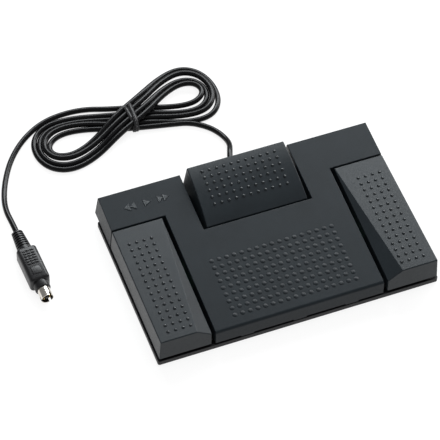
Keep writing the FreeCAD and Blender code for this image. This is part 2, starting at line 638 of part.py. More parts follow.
def cord_tie():
    """Band round the hank's waist; it bears on the top and both sides."""
    w = WAIST_HALF_WIDTH
    outer = box(-TIE_HALF_WIDTH, TIE_HALF_WIDTH, -w - TIE_THICK, w + TIE_THICK, 0, WAIST_HEIGHT + TIE_THICK)
    band = outer.cut(box(-TIE_HALF_WIDTH, TIE_HALF_WIDTH, -w, w, -1, WAIST_HEIGHT))
    band.rotate(V(0, 0, 0), V(0, 0, 1), HANK_TURN)
    band.translate(V(TIE_X, TIE_Y, 0))
    return band


def on_plug_axis(shape):
    """Move a shape drawn along +Y from the origin to the plug, pointing to the front."""
    shape.rotate(V(0, 0, 0), V(0, 0, 1), 180.0 + PLUG_TURN)
    shape.translate(V(PLUG_X, PLUG_START_Y, PLUG_Z))
    return shape


BOOT_LENGTH = 19.0
BODY_LENGTH = 31.0
BODY_HALF = 7.2
COLLAR_LENGTH = 5.5
COLLAR_RADIUS = 5.9
SHELL_RADIUS = 4.75
SHELL_LENGTH = 8.5
SHELL_BORE = 4.35
SHELL_NECK_RADIUS = 4.2    # the shell is smaller where the moulding grips it
SHELL_NECK_BORE = 3.8
SHELL_NECK_SHOWS = 0.4
SHELL_STEP = 0.4
KEY_LENGTH = 3.0
SHELL_BURIED = 4.0
PIN_THICK = 0.45
SHELL_START = BOOT_LENGTH + BODY_LENGTH + COLLAR_LENGTH - SHELL_BURIED
SHELL_END = BOOT_LENGTH + BODY_LENGTH + COLLAR_LENGTH + SHELL_LENGTH


def plug_boot():
    cone = Part.makeCone(3.4, 6.0, BOOT_LENGTH, V(0, 0, 0), V(0, 1, 0))
    for i in range(5):
        y = 2.2 + i * 3.0
        for z0, z1 in ((2.4, 9), (-9, -2.4)):
            cone = cone.cut(box(-9, 9, y, y + 1.1, z0, z1))
    return on_plug_axis(cone)


def plug_body():
    body = box(-BODY_HALF, BODY_HALF, BOOT_LENGTH, BOOT_LENGTH + BODY_LENGTH, -BODY_HALF, BODY_HALF)
    body = body.makeFillet(4.2, [e for e in body.Edges if e.BoundBox.YLength > BODY_LENGTH - 1])
    ends = [e for e in body.Edges if e.BoundBox.YLength < 0.01]
    body = body.makeFillet(1.2, ends)
    panel = box(-4.2, 4.2, BOOT_LENGTH + 6, BOOT_LENGTH + 23, BODY_HALF - 0.6, BODY_HALF + 1)
    body = body.cut(panel)
    ribs = []
    for i in range(4):
        y = BOOT_LENGTH + 8 + 3 * i
        ribs.append(box(-4.2, 4.2, y, y + 1.4, BODY_HALF - 0.7, BODY_HALF - 0.1))
    start = BOOT_LENGTH + BODY_LENGTH
    collar = rod(COLLAR_RADIUS, COLLAR_LENGTH, V(0, start, 0), V(0, 1, 0))
    collar = collar.cut(rod(SHELL_NECK_RADIUS, SHELL_BURIED, V(0, SHELL_START, 0), V(0, 1, 0)))
    return on_plug_axis(fused([body, collar] + ribs))


def plug_shell():
    neck_length = SHELL_BURIED + SHELL_NECK_SHOWS
    neck = tube(SHELL_NECK_RADIUS, SHELL_NECK_BORE, neck_length, V(0, SHELL_START, 0), V(0, 1, 0))
    wide_from = SHELL_START + neck_length
    barrel = tube(SHELL_RADIUS, SHELL_BORE, SHELL_END - wide_from, V(0, wide_from, 0), V(0, 1, 0))
    step = tube(SHELL_RADIUS, SHELL_NECK_BORE, SHELL_STEP, V(0, wide_from, 0), V(0, 1, 0))
    shell = fused([neck, barrel, step])
    for angle in (90, 210, 330):
        key = box(-0.9, 0.9, SHELL_END - KEY_LENGTH, SHELL_END + 1, SHELL_RADIUS - 0.7, SHELL_RADIUS + 1)
        key.rotate(V(0, 0, 0), V(0, 1, 0), angle)
        shell = shell.cut(key)
    return on_plug_axis(shell)


PIN_CIRCLE = 2.5
PIN_ANGLES = [30, 90, 150, 210, 330]


def pin_places():
    places = [(PIN_CIRCLE * math.cos(math.radians(a)), PIN_CIRCLE * math.sin(math.radians(a)))
              for a in PIN_ANGLES]
    return places


def plug_insulator():
    step_end = SHELL_START + SHELL_BURIED + SHELL_NECK_SHOWS + SHELL_STEP
    core = rod(SHELL_NECK_BORE, step_end - SHELL_START, V(0, SHELL_START, 0), V(0, 1, 0))
    face = rod(SHELL_BORE, 0.6, V(0, step_end, 0), V(0, 1, 0))
    block = box(-1.1, 1.1, SHELL_START + 4.9, SHELL_END - 1.0, -1.2, 0.6)
    core = fused([core, face, block])
    for x, z in pin_places():
        core = core.cut(rod(PIN_THICK, 5.0, V(x, SHELL_START + 1.0, z), V(0, 1, 0)))
    return on_plug_axis(core)


def plug_pins():
    pins = []
    for x, z in pin_places():
        pin = rod(PIN_THICK, SHELL_END - SHELL_START - 2.5, V(x, SHELL_START + 1.0, z), V(0, 1, 0))
        pins.append(on_plug_axis(pin))
    return Part.makeCompound(pins)


def weight_plate():
    x0, x1, y0, y1 = PLATE
    plate = box(x0, x1, y0, y1, TRAY_FLOOR, TRAY_FLOOR + PLATE_THICK)
    plate = plate.makeFillet(3.0, [e for e in plate.Edges if e.BoundBox.ZLength > 1])
    for x, y in PLATE_SCREWS_AT:
        plate = plate.cut(rod(1.35, 6, V(x, y, TRAY_FLOOR - 1)))
    return plate


# ---- write every node ---------------------------------------------------------------------
def main():
    os.makedirs("parts", exist_ok=True)
    keep("base_tray", base_tray())
    keep("rubber_feet", feet())
    keep("top_cover", top_cover())
    right = right_pedal()
    keep("right_pedal", right)
    keep("left_pedal", mirrored(right))
    keep("centre_pedal", centre_pedal())
    pin_start = PIVOT_POSTS[0] - PIVOT_WIDTH / 2 - 1
    pin_length = PIVOT_POSTS[1] - PIVOT_POSTS[0] + PIVOT_WIDTH + 2
    pin = rod(PIN_RADIUS, pin_length, V(pin_start, SIDE_PIVOT_Y, SIDE_PIVOT_Z), V(1, 0, 0))
    keep("right_pivot_pin", pin)
    keep("left_pivot_pin", mirrored(pin))
    reach = CENTRE_POSTS + PIVOT_WIDTH / 2 + 1
    pin = rod(PIN_RADIUS, 2 * reach, V(-reach, CENTRE_PIVOT_Y, CENTRE_PIVOT_Z), V(1, 0, 0))
    keep("centre_pivot_pin", pin)
    keep("weight_plate", weight_plate())
    keep("plate_screws", Part.makeCompound([screw(x, y, TRAY_FLOOR + PLATE_THICK, 2.4, 1.4, 1.2,
                                                  PLATE_THICK + 1.5, up=False) for x, y in PLATE_SCREWS_AT]))
    keep("cover_screws", Part.makeCompound([screw(x, y, TRAY_FLOOR + 1.5, 2.9, 1.6, 1.1,
                                                  12.0) for x, y in COVER_SCREWS_AT]))
    keep("circuit_board", circuit_board())
    keep("board_screws", Part.makeCompound([screw(x, y, BOARD_TOP, 2.3, 1.3, 1.0,
                                                  BOARD_THICK + 2.6, up=False) for x, y in BOARD_SCREWS_AT]))
    keep("resistors", resistors())
    keep("cord_header", header())
    places = {"right": (SWITCH_X, SWITCH_Y), "left": (-SWITCH_X, SWITCH_Y),
              "centre": (CENTRE_SWITCH_X, CENTRE_SWITCH_Y)}
    for side, (x, y) in places.items():
        keep(side + "_switch", switch(x, y))
        keep(side + "_plunger", plunger(x, y))
    keep("right_spring", spring(SPRING_X, SPRING_Y))
    keep("left_spring", spring(-SPRING_X, SPRING_Y))
    keep("centre_springs", Part.makeCompound([spring(s * CENTRE_SPRING_X, CENTRE_SPRING_Y) for s in (-1, 1)]))
    keep("bumper_pads", Part.makeCompound([rod(BUMPER_RADIUS, BUMPER_HEIGHT, V(x, y, TRAY_FLOOR))
                                           for x, y in BUMPERS_AT]))
    keep("signal_wires", signal_wires())
    keep("strain_relief", strain_relief())
    keep("cord_inner", cord_inner())
    keep("cord_clamp", cord_clamp())
    keep("clamp_screws", Part.makeCompound([screw(x, 54.5, CORD_EXIT_Z - CORD_RADIUS + 2.0, 1.6, 1.1, 1.0,
                                                  5.5, up=False) for x in CLAMP_SCREWS_X]))
    keep("rating_label", box(-28, 28, -20, 16, TRAY_BOTTOM - 0.15, TRAY_BOTTOM))
    keep("cord_lead", routed(LEAD_ROUTE, CORD_RADIUS, "lead"))
    keep("cord_hank", hank())
    keep("cord_tail", routed(TAIL_ROUTE, CORD_RADIUS, "tail"))
    keep("cord_tie", cord_tie())
    keep("plug_boot", plug_boot())
    keep("plug_body", plug_body())
    keep("plug_shell", plug_shell())
    keep("plug_insulator", plug_insulator())
    keep("plug_pins", plug_pins())


main()
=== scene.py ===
"""Three-pedal transcription foot control: the looks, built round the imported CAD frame.

Everything is in metres in the frame's own axes: X right, Y to the back, Z up.
"""

import math

import bmesh
import bpy
from mathutils import Matrix, Vector


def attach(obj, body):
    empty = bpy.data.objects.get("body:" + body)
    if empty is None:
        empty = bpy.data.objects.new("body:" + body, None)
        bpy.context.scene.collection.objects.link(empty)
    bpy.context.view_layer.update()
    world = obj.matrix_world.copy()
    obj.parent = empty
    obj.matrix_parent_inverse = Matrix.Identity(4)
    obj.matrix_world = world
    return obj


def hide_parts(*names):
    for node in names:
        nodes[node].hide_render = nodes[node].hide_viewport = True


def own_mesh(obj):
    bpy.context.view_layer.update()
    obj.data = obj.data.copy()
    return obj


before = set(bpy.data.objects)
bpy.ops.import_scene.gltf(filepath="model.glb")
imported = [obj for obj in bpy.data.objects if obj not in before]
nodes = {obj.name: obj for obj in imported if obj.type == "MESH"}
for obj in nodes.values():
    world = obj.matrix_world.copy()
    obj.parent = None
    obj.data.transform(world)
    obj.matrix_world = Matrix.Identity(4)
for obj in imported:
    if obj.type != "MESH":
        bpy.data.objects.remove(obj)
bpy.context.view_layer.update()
MM = 0.001

# ---- camera -------------------------------------------------------------------------------
CAMERA_PLACE = Vector((-0.45241, -0.96135, 1.46099))
CAMERA_AZIMUTH = -23.35
CAMERA_ELEVATION = 53.33
CAMERA_ROLL = 2.97
CAMERA_LENS = 198.2        # on a 36 mm frame


def make_camera():
    azimuth, elevation = math.radians(CAMERA_AZIMUTH), math.radians(CAMERA_ELEVATION)
    roll = math.radians(CAMERA_ROLL)
    forward = Vector((-math.sin(azimuth) * math.cos(elevation), math.cos(azimuth) * math.cos(elevation),
                      -math.sin(elevation)))
    level = Vector((math.cos(azimuth), math.sin(azimuth), 0.0))
    upward = level.cross(forward)
    right = level * math.cos(roll) + upward * math.sin(roll)
    up = upward * math.cos(roll) - level * math.sin(roll)
    data = bpy.data.cameras.new("camera")
    data.sensor_width = 36.0
    data.lens = CAMERA_LENS
    data.clip_start, data.clip_end = 0.05, 20.0
    camera = bpy.data.objects.new("camera", data)
    turn = Matrix((right, up, -forward)).transposed().to_4x4()
    camera.matrix_world = Matrix.Translation(CAMERA_PLACE) @ turn
    bpy.context.scene.collection.objects.link(camera)
    bpy.context.scene.camera = camera


make_camera()


# ---- small helpers ------------------------------------------------------------------------
def add_object(name, data):
    piece = bpy.data.objects.new(name, data)
    bpy.context.scene.collection.objects.link(piece)
    return piece


def mesh_piece(name, vertices, faces, smooth=True):
    mesh = bpy.data.meshes.new(name)
    mesh.from_pydata([tuple(v) for v in vertices], [], faces)
    mesh.update()
    for face in mesh.polygons:
        face.use_smooth = smooth
    return add_object(name, mesh)


def give(piece, material, body="housing"):
    """Material, ride and slot for one new piece."""
    piece.data.materials.clear()
    piece.data.materials.append(material)
    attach(piece, body)
    return piece


# ---- materials ----------------------------------------------------------------------------
def new_material(name):
    material = bpy.data.materials.new(name)
    material.use_nodes = True
    tree = material.node_tree
    shader = tree.nodes["Principled BSDF"]
    return material, tree, shader


def noise(tree, scale, detail=3.0, roughness=0.55, coordinates=None):
    node = tree.nodes.new("ShaderNodeTexNoise")
    node.inputs["Scale"].default_value = scale
    node.inputs["Detail"].default_value = detail
    node.inputs["Roughness"].default_value = roughness
    if coordinates is None:
        coordinates = tree.nodes.new("ShaderNodeTexCoord").outputs["Object"]
    tree.links.new(coordinates, node.inputs["Vector"])
    return node


def ramp(tree, source, low, high, start=0.3, end=0.7):
    node = tree.nodes.new("ShaderNodeValToRGB")
    node.color_ramp.elements[0].position = start
    node.color_ramp.elements[0].color = low
    node.color_ramp.elements[1].position = end
    node.color_ramp.elements[1].color = high
    tree.links.new(source, node.inputs["Fac"])
    return node.outputs["Color"]


def grey(value):
    return (value, value, value, 1.0)


def moulded_plastic(name, colour, roughness, grain=0.55, grain_depth=0.00006, spread=0.12, specular=0.5):
    """Moulded plastic with a spark-eroded grain, faint mottling and slightly uneven gloss."""
    material, tree, shader = new_material(name)
    coordinates = tree.nodes.new("ShaderNodeTexCoord").outputs["Object"]
    mottle = noise(tree, 38.0, 4.0, 0.6, coordinates)
    low = [c * (1 - spread) for c in colour] + [1.0]
    high = [c * (1 + spread) for c in colour] + [1.0]
    tree.links.new(ramp(tree, mottle.outputs["Fac"], low, high), shader.inputs["Base Color"])
    rough = noise(tree, 700.0, 2.0, 0.5, coordinates)
    tree.links.new(ramp(tree, rough.outputs["Fac"], grey(roughness - 0.06), grey(roughness + 0.06)),
                   shader.inputs["Roughness"])
    fine = noise(tree, 1000.0 / grain, 2.0, 0.6, coordinates)
    bump = tree.nodes.new("ShaderNodeBump")
    bump.inputs["Strength"].default_value = 0.55
    bump.inputs["Distance"].default_value = grain_depth
    tree.links.new(fine.outputs["Fac"], bump.inputs["Height"])
    tree.links.new(bump.outputs["Normal"], shader.inputs["Normal"])
    shader.inputs["Specular IOR Level"].default_value = specular
    return material


def metal(name, colour, roughness, scratch=900.0):
    material, tree, shader = new_material(name)
    coordinates = tree.nodes.new("ShaderNodeTexCoord").outputs["Object"]
    tone = noise(tree, 120.0, 3.0, 0.6, coordinates)
    tree.links.new(ramp(tree, tone.outputs["Fac"], [c * 0.82 for c in colour] + [1.0],
                        [c for c in colour] + [1.0]), shader.inputs["Base Color"])
    fine = noise(tree, scratch, 3.0, 0.6, coordinates)
    tree.links.new(ramp(tree, fine.outputs["Fac"], grey(roughness * 0.7), grey(roughness * 1.4)),
                   shader.inputs["Roughness"])
    shader.inputs["Metallic"].default_value = 1.0
    return material


HOUSING = moulded_plastic("housing_plastic", (0.0098, 0.0133, 0.0162), 0.43, specular=0.16)
PEDAL = moulded_plastic("pedal_plastic", (0.0116, 0.0155, 0.0186), 0.39, grain=0.5, specular=0.24)
# Rubbed domes are glossier than the pedal plastic; their darker colour is painted shade.
DOTS = moulded_plastic("pedal_plastic_rubbed_painted_shade", (0.0100, 0.0135, 0.0165), 0.24, grain=0.3, specular=0.6)
# Painted shade: the rest dots are a darker copy of the housing plastic, standing in for the shade among the
# bumps.
REST_DOTS = moulded_plastic("housing_plastic_painted_shade", (0.0082, 0.0112, 0.0138), 0.4, grain=0.3, specular=0.24)
# Painted highlight: the signs are a lighter copy of the housing plastic so that their raised faces read as
# lit.
SIGNS = moulded_plastic("housing_plastic_painted_highlight", (0.0190, 0.0240, 0.0275), 0.3, grain=0.2, specular=0.5)
BASE = moulded_plastic("base_plastic", (0.005, 0.005, 0.006), 0.5, grain=0.7, specular=0.25)
RUBBER = moulded_plastic("foot_rubber", (0.016, 0.016, 0.016), 0.75, grain=0.3)
CORD = moulded_plastic("cord_pvc", (0.0032, 0.0032, 0.0036), 0.22, grain=1.6, grain_depth=0.000003,
                       specular=0.2)
PLUG = moulded_plastic("plug_pvc", (0.008, 0.008, 0.009), 0.36, grain=0.9, grain_depth=0.00003, specular=0.36)
TIE = moulded_plastic("tie_plastic", (0.014, 0.014, 0.015), 0.36, grain=0.7, specular=0.4)
SWITCH = moulded_plastic("switch_plastic", (0.02, 0.02, 0.022), 0.4, grain=0.8)
PLUNGER = moulded_plastic("plunger_plastic", (0.5, 0.07, 0.04), 0.4, grain=0.8)
HEADER = moulded_plastic("header_plastic", (0.62, 0.58, 0.48), 0.45, grain=0.8)
BOARD = moulded_plastic("board_laminate", (0.02, 0.11, 0.05), 0.25, grain=2.0, grain_depth=0.00002)
RESISTOR = moulded_plastic("resistor_lacquer", (0.45, 0.33, 0.18), 0.3, grain=1.0)
WIRE = moulded_plastic("wire_pvc", (0.35, 0.04, 0.03), 0.35, grain=1.0)
INSULATOR = moulded_plastic("insulator_plastic", (0.015, 0.015, 0.015), 0.5, grain=0.7)
LABEL = moulded_plastic("label_film", (0.45, 0.45, 0.44), 0.4, grain=2.0, grain_depth=0.00001)
STEEL = metal("steel", (0.58, 0.58, 0.56), 0.3)
NICKEL = metal("nickel", (0.78, 0.74, 0.68), 0.16)
GOLD = metal("pin_metal", (0.85, 0.62, 0.26), 0.2)

CAD_LOOKS = {
    "top_cover": HOUSING, "left_pedal": PEDAL, "right_pedal": PEDAL, "centre_pedal": PEDAL,
    "base_tray": BASE, "cord_clamp": BASE, "rubber_feet": RUBBER, "bumper_pads": RUBBER,
    "circuit_board": BOARD, "resistors": RESISTOR, "cord_header": HEADER, "rating_label": LABEL,
    "signal_wires": WIRE, "strain_relief": PLUG, "cord_inner": CORD, "plug_boot": PLUG,
    "plug_body": PLUG, "plug_shell": NICKEL, "plug_insulator": INSULATOR, "plug_pins": GOLD,
}
for side in ("left", "right", "centre"):
    CAD_LOOKS[side + "_switch"] = SWITCH
    CAD_LOOKS[side + "_plunger"] = PLUNGER
for name, node in nodes.items():
    look = CAD_LOOKS.get(name, STEEL)
    node.data.materials.clear()
    node.data.materials.append(look)


# ---- cord ---------------------------------------------------------------------------------
CORD_DIAMETER = 4.4 * MM
CORD_LIES = 2.2            # height of the cord's middle where it lies on the floor, in mm
LEAD_ROUTE = [
    (4.0, 80.0, 9.0), (4.3, 84.0, 9.0), (6.7, 90.0, 8.7), (9.8, 98.0, 6.4), (10.0, 106.0, 3.5),
    (7.3, 114.5, 2.4), (1.4, 122.8, 2.2), (-10.0, 131.2, 2.2),
]
TAIL_ROUTE = [
    (-66.0, 165.0, 2.4), (-82.0, 170.8, 2.2), (-99.0, 172.4, 2.2), (-118.0, 169.6, 2.2),
    (-136.5, 159.0, 2.2), (-151.5, 143.5, 2.2), (-162.0, 125.5, 2.2), (-168.6, 108.0, 3.0),
    (-170.9, 94.0, 5.6), (-170.3, 82.0, 7.3), (-169.9, 72.0, 7.3),
]
HANK_ENTRY = (-23.0, 134.3, 2.2)
TIE_AT = Vector((-52.0, 150.5))
HANK_TURN = math.radians(8.1)
TURNS = 4
LEFT_REACH, LEFT_SPREAD = 81.7, 24.5        # outermost turn of each lobe
RIGHT_REACH, RIGHT_SPREAD = 73.4, 27.4
# How far each turn lies inside the outermost one, and how high it rides on its neighbours.
LEFT_INSET, LEFT_LIFT = (11.4, 7.8, 4.0, 0.0), (0.0, 2.6, 0.0, 0.0)
RIGHT_INSET, RIGHT_LIFT = (0.0, 3.7, 7.4, 11.0), (0.0, 2.6, 0.0, 2.6)
LEFT_TUCK, RIGHT_TUCK = 1.07, 1.34          # inner turns are slimmer as well as shorter
BUNDLE_STEP = 5.1          # between strands side by side under the tie
BUNDLE_FADE = 34.0         # how far from the tie the bundle has opened into its lobes
CROSSING_RISE = 4.6        # the upper layer of strands at the tie
TIE_RISE = 0.6             # the band passes under the strands
NECK = 0.42                # how much the tie pulls the lobes together
NECK_REACH = 27.0
ENTRY_REACH, ENTRY_SPREAD = 4.8, 4.6        # the lead comes in this far outside the right lobe
LOBE_POINTS = 9


def eased(value, start, end):
    t = min(max((value - start) / (end - start), 0.0), 1.0)
    return t * t * (3 - 2 * t)


def lobe(side, reach, spread, offset_in, offset_out, lift, rise_in, rise_out, first=0, last=LOBE_POINTS):
    """Points of one loop of the figure of eight, from the tie out and back to it."""
    points = []
    for i in range(first, last):
        angle = math.pi * (i + 0.5) / LOBE_POINTS
        along = side * reach * math.sin(angle)
        outward = i < LOBE_POINTS / 2
        offset = offset_in if outward else offset_out
        rise = rise_in if outward else rise_out
        neck = 1 - NECK * math.exp(-(along / NECK_REACH) ** 2)
        across = spread * math.sin(2 * angle) * neck + offset * math.exp(-(along / BUNDLE_FADE) ** 2)
        away = eased(abs(along), 16.0, 44.0)
        height = CORD_LIES + lift * away + (rise + TIE_RISE) * (1 - away)
        points.append(hank_point(along, across, height))
    return points


def hank_point(along, across, height):
    turned = Matrix.Rotation(HANK_TURN, 2) @ Vector((along, across))
    return (TIE_AT.x + turned.x, TIE_AT.y + turned.y, height)


def cord_points():
    lower = [(i - TURNS / 2) * BUNDLE_STEP for i in range(TURNS + 1)]
    upper = [(TURNS / 2 - 0.5 - i) * BUNDLE_STEP for i in range(TURNS)]
    points = LEAD_ROUTE + [HANK_ENTRY]
    points += lobe(1, RIGHT_REACH + ENTRY_REACH, RIGHT_SPREAD + ENTRY_SPREAD, 0, lower[0], 0, 0, 0,
                   first=LOBE_POINTS - 1)
    for k in range(TURNS):
        points += lobe(-1, LEFT_REACH - LEFT_INSET[k], LEFT_SPREAD - LEFT_TUCK * LEFT_INSET[k], lower[k],
                       upper[k], LEFT_LIFT[k], 0.0, CROSSING_RISE)
        points += lobe(1, RIGHT_REACH - RIGHT_INSET[k], RIGHT_SPREAD - RIGHT_TUCK * RIGHT_INSET[k], upper[k],
                       lower[k + 1], RIGHT_LIFT[k], CROSSING_RISE, 0.0)
    return points + TAIL_ROUTE


def cord_curve():
    points = cord_points()
    curve = bpy.data.curves.new("cord", "CURVE")
    curve.dimensions = "3D"
    spline = curve.splines.new("NURBS")
    spline.points.add(len(points) - 1)
    for point, place in zip(spline.points, points):
        point.co = (place[0] * MM, place[1] * MM, place[2] * MM, 1.0)
    spline.order_u = 3
    spline.use_endpoint_u = True
    spline.resolution_u = 14
    curve.bevel_depth = CORD_DIAMETER / 2
    curve.bevel_resolution = 5
    curve.use_fill_caps = True
    return add_object("cord", curve)


def curve_length(piece):
    plain = piece.data.copy()
    plain.bevel_depth = 0
    holder = bpy.data.objects.new("measure", plain)
    mesh = bpy.data.meshes.new_from_object(holder)
    places = [v.co.copy() for v in mesh.vertices]
    bpy.data.objects.remove(holder)
    bpy.data.meshes.remove(mesh)
    return sum((b - a).length for a, b in zip(places, places[1:]))


CORD_PIECE = give(cord_curve(), CORD)
CORD_LENGTH = curve_length(CORD_PIECE)
print("cord length", round(CORD_LENGTH, 3))
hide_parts("cord_lead", "cord_hank", "cord_tail")


# ---- twist tie ----------------------------------------------------------------------------
TIE_WIDTH = 3.1
TIE_THICK = 0.5
TIE_HALF = 2 * BUNDLE_STEP + 2.4
TIE_TOP = CORD_LIES + TIE_RISE + CROSSING_RISE + 2.2


def tie_band(name, lean, shift, swell):
    """A flat ribbon with a wire down its middle, once round the bundle."""
    outline = [(-TIE_HALF + 1.4, 0.7), (-TIE_HALF - 0.1, 1.6), (-TIE_HALF - 0.2, 3.6), (-TIE_HALF + 2.0, 6.4),
               (-TIE_HALF + 5.0, TIE_TOP), (0.0, TIE_TOP + 0.35), (TIE_HALF - 5.0, TIE_TOP),
               (TIE_HALF - 2.0, 6.4), (TIE_HALF + 0.2, 3.6), (TIE_HALF + 0.1, 1.6), (TIE_HALF - 1.4, 0.7),
               (0.0, 0.68)]
    curve = bpy.data.curves.new(name + "_path", "CURVE")
    curve.dimensions = "3D"
    spline = curve.splines.new("NURBS")
    spline.points.add(len(outline) - 1)
    for point, (across, height) in zip(spline.points, outline):
        along = shift + lean * across / TIE_HALF
        place = hank_point(along, across * (1 + swell), height + (swell * 8 if height > 1 else 0))
        point.co = (place[0] * MM, place[1] * MM, place[2] * MM, 1.0)
    spline.use_cyclic_u = True
    spline.order_u = 3
    spline.resolution_u = 8
    holder = bpy.data.objects.new(name + "_path", curve)
    path = bpy.data.meshes.new_from_object(holder)
    places = [v.co.copy() for v in path.vertices]
    bpy.data.objects.remove(holder)
    middle = sum(places, Vector()) / len(places)
    along_axis = Vector((math.cos(HANK_TURN), math.sin(HANK_TURN), 0.0))
    section = [(-1.0, 0.0), (-1.0, 0.55), (-0.45, 0.6), (-0.22, 1.25), (0.22, 1.25), (0.45, 0.6),
               (1.0, 0.55), (1.0, 0.0)]
    vertices, faces = [], []
    count, sides = len(places), len(section)
    for i, place in enumerate(places):
        tangent = (places[(i + 1) % count] - places[i - 1]).normalized()
        outward = along_axis.cross(tangent).normalized()
        if outward.dot(place - middle) < 0:
            outward.negate()
        for s, t in section:
            vertices.append(place + along_axis * (s * TIE_WIDTH / 2 * MM) + outward * (t * TIE_THICK * MM))
    for i in range(count):
        for j in range(sides):
            a, b = i * sides + j, i * sides + (j + 1) % sides
            c, d = ((i + 1) % count) * sides + (j + 1) % sides, ((i + 1) % count) * sides + j
            faces.append((a, b, c, d))
    return mesh_piece(name, vertices, faces)


def twisted_ends():
    """The tie's two ends, twisted round each other and lying on the bundle."""
    curve = bpy.data.curves.new("tie_ends", "CURVE")
    curve.dimensions = "3D"
    for phase in (0.0, math.pi):
        spline = curve.splines.new("NURBS")
        steps = 26
        spline.points.add(steps)
        for i, point in enumerate(spline.points):
            part = i / steps
            angle = phase + part * 5.0 * math.pi
            open_out = 0.62 + 0.9 * eased(part, 0.75, 1.0)
            along = -0.6 - 1.6 * part + open_out * math.cos(angle)
            across = -5.0 - 9.4 * part
            height = TIE_TOP + 1.3 - 6.6 * part * part + open_out * math.sin(angle)
            place = hank_point(along, across, height)
            point.co = (place[0] * MM, place[1] * MM, place[2] * MM, 1.0)
        spline.order_u = 3
        spline.use_endpoint_u = True
        spline.resolution_u = 4
    curve.bevel_depth = 0.6 * MM
    curve.bevel_resolution = 3
    curve.use_fill_caps = True
    return add_object("tie_ends", curve)


TIE_PIECES = [tie_band("tie_band_lower", 0.9, -1.7, 0.0), tie_band("tie_band_upper", 2.3, 1.5, 0.05),
              twisted_ends()]
for piece in TIE_PIECES:
    give(piece, TIE)
    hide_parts("cord_tie")


# ---- plug moulding ------------------------------------------------------------------------
PLUG_START = Vector(TAIL_ROUTE[-1])
PLUG_LEAN = math.radians(2.3)               # off -Y
PLUG_ALONG = Vector((math.sin(PLUG_LEAN), -math.cos(PLUG_LEAN), 0.0))
PLUG_ACROSS = Vector((-PLUG_ALONG.y, PLUG_ALONG.x, 0.0))
BOOT_LENGTH, BODY_LENGTH, COLLAR_LENGTH = 19.0, 31.0, 5.5
BODY_HALF_WIDTH, BODY_HALF_HEIGHT, BODY_CORNER = 7.7, 7.1, 2.9
COLLAR_RADIUS = 5.9
BOOT_RADIUS, BOOT_SWELL = 4.3, 1.5          # at the cord's end, and how much it grows
BOOT_SIDES = 32
BOOT_GROOVES, GROOVE_STEP, GROOVE_WIDTH, GROOVE_DEPTH = 7, 2.15, 0.95, 1.15
COLLAR_SIDES = 40
CORNER_POINTS = 7
SHARP_EDGE = 30                             # degrees


def plug_point(across, along, up):
    return (PLUG_START + PLUG_ACROSS * across + PLUG_ALONG * along + Vector((0, 0, up))) * MM


def skin(loops, vertices, faces):
    """A closed skin over loops of equally many points."""
    base, count = len(vertices), len(loops[0])
    for loop in loops:
        vertices.extend(loop)
    for ring in range(len(loops) - 1):
        for i in range(count):
            a, b = base + ring * count + i, base + ring * count + (i + 1) % count
            faces.append((a, b, b + count, a + count))
    faces.append(tuple(base + i for i in range(count))[::-1])
    faces.append(tuple(base + (len(loops) - 1) * count + i for i in range(count)))


def closed_piece(name, vertices, faces, smooth=True):
    piece = mesh_piece(name, vertices, faces, smooth)
    work = bmesh.new()
    work.from_mesh(piece.data)
    bmesh.ops.recalc_face_normals(work, faces=work.faces)
    work.to_mesh(piece.data)
    work.free()
    return piece


def boot_ring(along, depth):
    """One ring of the boot. Its grooves are cut in the top and bottom and leave a spine at each side."""
    radius = BOOT_RADIUS + BOOT_SWELL * along / BOOT_LENGTH
    ring = []
    for i in range(BOOT_SIDES):
        angle = 2 * math.pi * i / BOOT_SIDES
        cut = depth * eased(abs(math.sin(angle)), 0.25, 0.6)
        ring.append(plug_point((radius - cut) * math.cos(angle), along, (radius - cut) * math.sin(angle)))
    return ring


def make_boot():
    loops = [boot_ring(0.0, 1.4), boot_ring(0.25, 0.5), boot_ring(0.9, 0.0)]
    for i in range(BOOT_GROOVES):
        start = 1.9 + GROOVE_STEP * i
        loops += [boot_ring(start, 0.0), boot_ring(start + 0.12, GROOVE_DEPTH),
                  boot_ring(start + GROOVE_WIDTH, GROOVE_DEPTH), boot_ring(start + GROOVE_WIDTH + 0.12, 0.0)]
    loops += [boot_ring(BOOT_LENGTH - 1.0, 0.0), boot_ring(BOOT_LENGTH + 0.6, 0.0)]
    vertices, faces = [], []
    skin(loops, vertices, faces)
    return closed_piece("plug_boot_moulding", vertices, faces, smooth=False)


def rounded_loop(along, inset, half_width, half_height, corner):
    loop = []
    for turn, (sx, sz) in enumerate(((1, 1), (-1, 1), (-1, -1), (1, -1))):
        for i in range(CORNER_POINTS):
            angle = math.pi / 2 * (turn + i / (CORNER_POINTS - 1))
            loop.append(plug_point(sx * (half_width - corner) + (corner - inset) * math.cos(angle), along,
                                   sz * (half_height - corner) + (corner - inset) * math.sin(angle)))
    return loop


def raised_pad(across, along, half_width, half_length, height, vertices, faces):
    """A pad with sloped sides on the body's top face."""
    loops = []
    for spread, up in ((0.35, -0.4), (0.3, 0.0), (0.0, height * 0.8), (-0.25, height)):
        loops.append([plug_point(across + sx * (half_width + spread), along + sy * (half_length + spread),
                                 BODY_HALF_HEIGHT + up) for sx, sy in ((1, 1), (-1, 1), (-1, -1), (1, -1))])
    skin(loops, vertices, faces)


